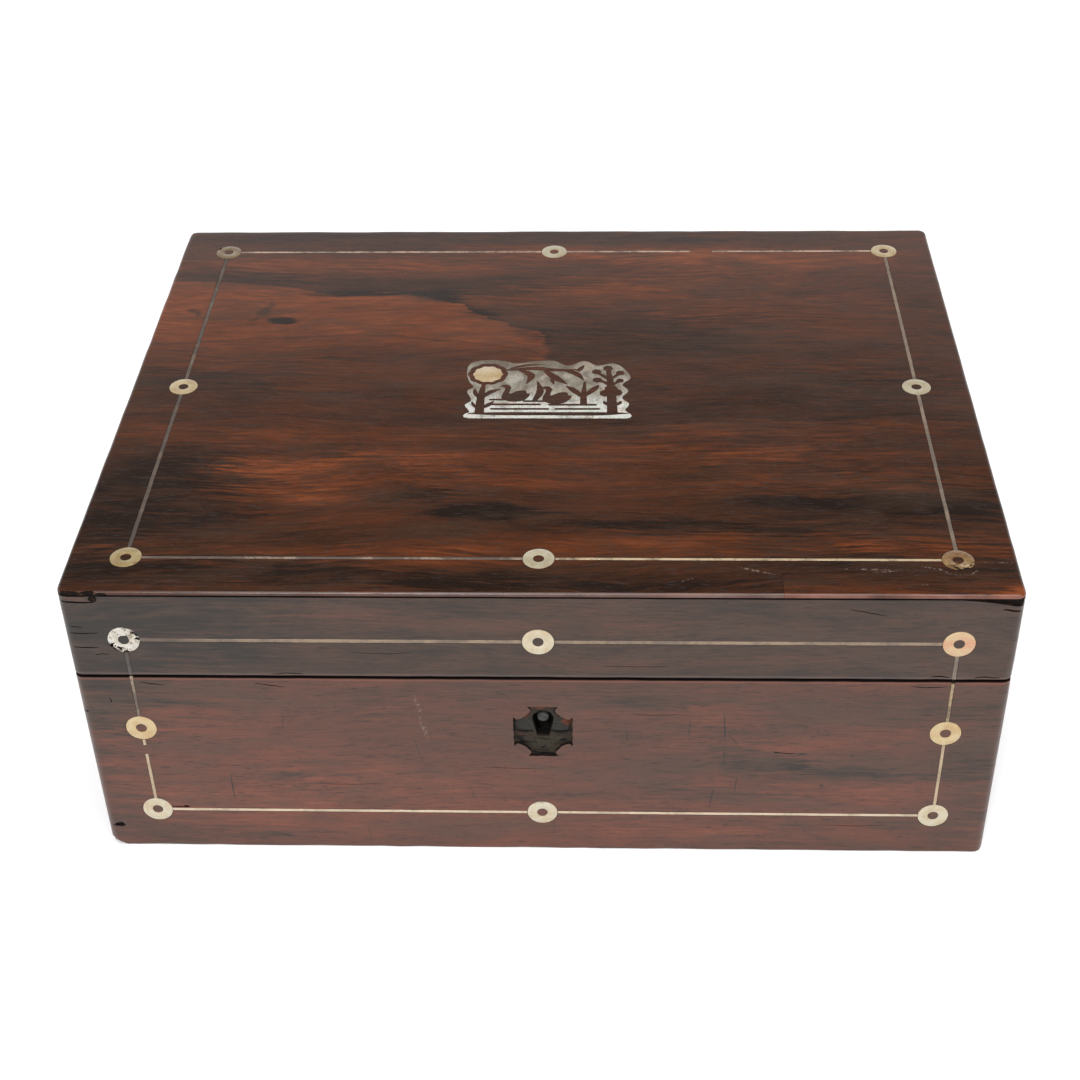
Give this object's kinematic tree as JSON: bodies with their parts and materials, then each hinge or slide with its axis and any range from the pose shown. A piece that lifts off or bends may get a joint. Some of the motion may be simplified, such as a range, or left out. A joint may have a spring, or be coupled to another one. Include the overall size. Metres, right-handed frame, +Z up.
{
  "type": "shell inlaid box",
  "caption": "Low rectangular veneered box with a lift-off lid, inlaid with shell rings, thin metal lines and a pierced shell plaque; aged, with a lost lock plate",
  "frame": {"origin": "centre of the underside of the closed box, on the surface that it stands on", "axes": "+X to the right seen from the front, along the long side; the front with the keyhole faces -Y; +Z up"},
  "size_m": [0.3, 0.236, 0.1128],
  "materials": {
    "rosewood": "worn polish",
    "red_rosewood": "worn polish",
    "board": "bare wood",
    "shell": "polished mother-of-pearl",
    "cream_shell": "polished cream shell",
    "pale_metal": "dull metal line",
    "steel": "tarnished"
  },
  "bodies": {
    "root": {"case_bottom_board": "board", "case_front_board": "board", "case_back_board": "board", "case_left_board": "board", "case_right_board": "board", "case_front_veneer": "rosewood", "case_back_veneer": "rosewood", "case_left_veneer": "rosewood", "case_right_veneer": "rosewood", "lock_case": "steel", "lock_pin": "steel", "lid_front_board": "board", "lid_back_board": "board", "lid_left_board": "board", "lid_right_board": "board", "lid_top_board": "board", "lid_front_veneer": "rosewood", "lid_back_veneer": "rosewood", "lid_left_veneer": "rosewood", "lid_right_veneer": "rosewood", "lid_top_patch": "red_rosewood", "lid_top_veneer": "rosewood", "ring_top_back_left": "shell", "ring_top_back_middle": "shell", "ring_top_back_right": "shell", "ring_top_left": "shell", "ring_top_right": "shell", "ring_top_front_left": "shell", "ring_top_front_middle": "shell", "ring_top_front_right": "shell", "ring_lid_left": "shell", "ring_lid_middle": "shell", "ring_lid_right": "shell", "ring_case_left": "shell", "ring_case_right": "shell", "ring_case_bottom_left": "shell", "ring_case_bottom_middle": "shell", "ring_case_bottom_right": "shell", "line_top_left_back": "pale_metal", "line_top_left_front": "pale_metal", "line_lid_left": "pale_metal", "line_case_left_upper": "pale_metal", "line_top_right_back": "pale_metal", "line_top_right_front": "pale_metal", "line_lid_right": "pale_metal", "line_case_right_upper": "pale_metal", "line_top_front_left": "pale_metal", "line_top_front_right": "pale_metal", "line_top_back_left": "pale_metal", "line_top_back_right_inner": "pale_metal", "line_top_back_right_outer": "pale_metal", "line_lid_front_left": "pale_metal", "line_lid_front_right": "pale_metal", "line_case_left_stub": "pale_metal", "line_case_left_lower": "pale_metal", "line_case_right_lower": "pale_metal", "line_case_bottom_left": "pale_metal", "line_case_bottom_right": "pale_metal", "plaque": "shell", "plaque_sun": "cream_shell"}
  },
  "joints": []
}
